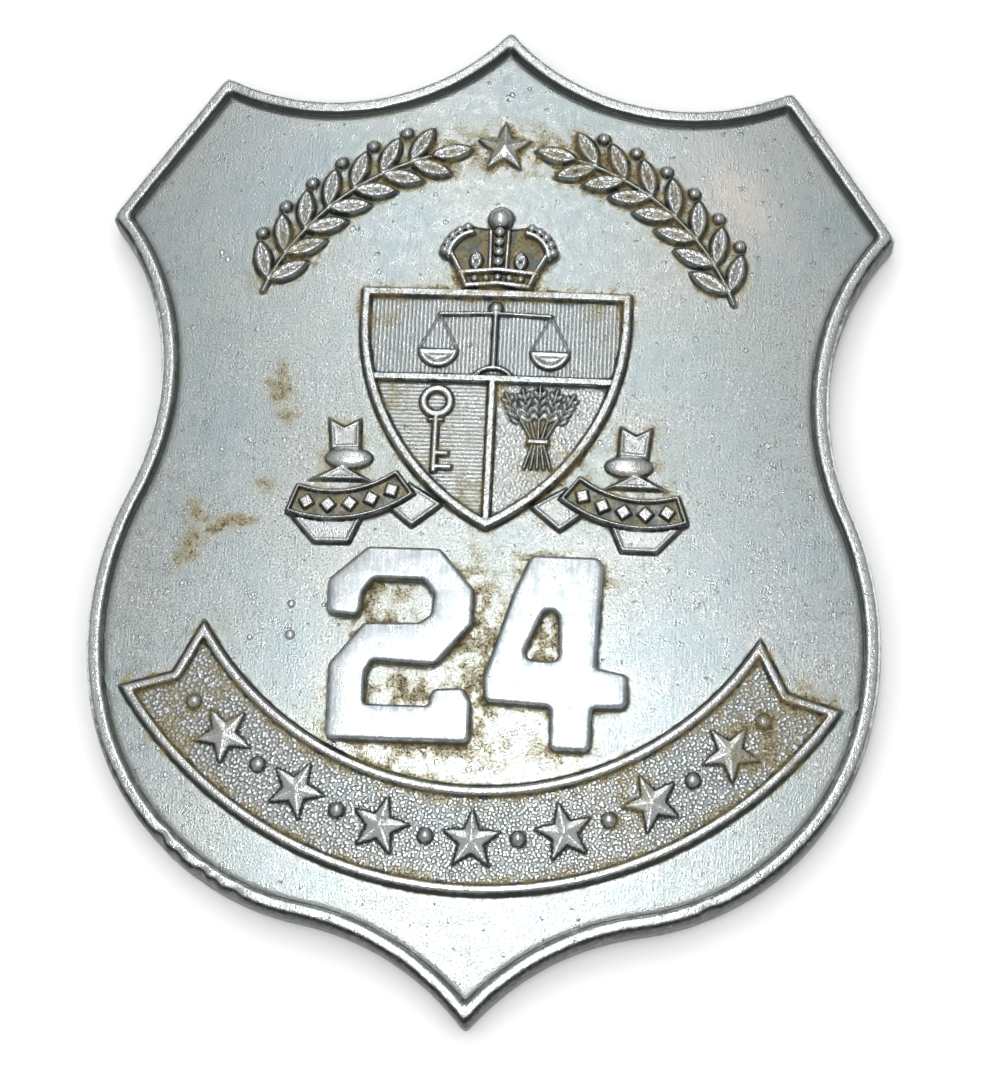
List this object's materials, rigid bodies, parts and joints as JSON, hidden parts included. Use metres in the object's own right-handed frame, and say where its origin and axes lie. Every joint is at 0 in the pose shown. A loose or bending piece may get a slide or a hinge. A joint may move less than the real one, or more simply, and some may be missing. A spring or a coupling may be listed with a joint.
{
  "type": "sheriff badge",
  "caption": "Shield-shaped metal breast badge, slightly domed, with a raised rim, cast relief, a scroll, two applied numerals and a brooch pin on the back.",
  "frame": {"origin": "under the middle of the bounding box, on the surface that the badge rests on", "axes": "+Z out of the badge's face, +Y to its apex, +X to its right as one looks at the face"},
  "size_m": [0.0518, 0.0666, 0.006],
  "materials": {
    "plate_metal": "worn satin plating with grime in the creases",
    "numeral_metal": "brushed plating",
    "pin_metal": "plain plating"
  },
  "bodies": {
    "root": {"shield_plate": "plate_metal", "numeral_left": "numeral_metal", "numeral_right": "numeral_metal", "pin_back": "pin_metal"}
  },
  "joints": []
}
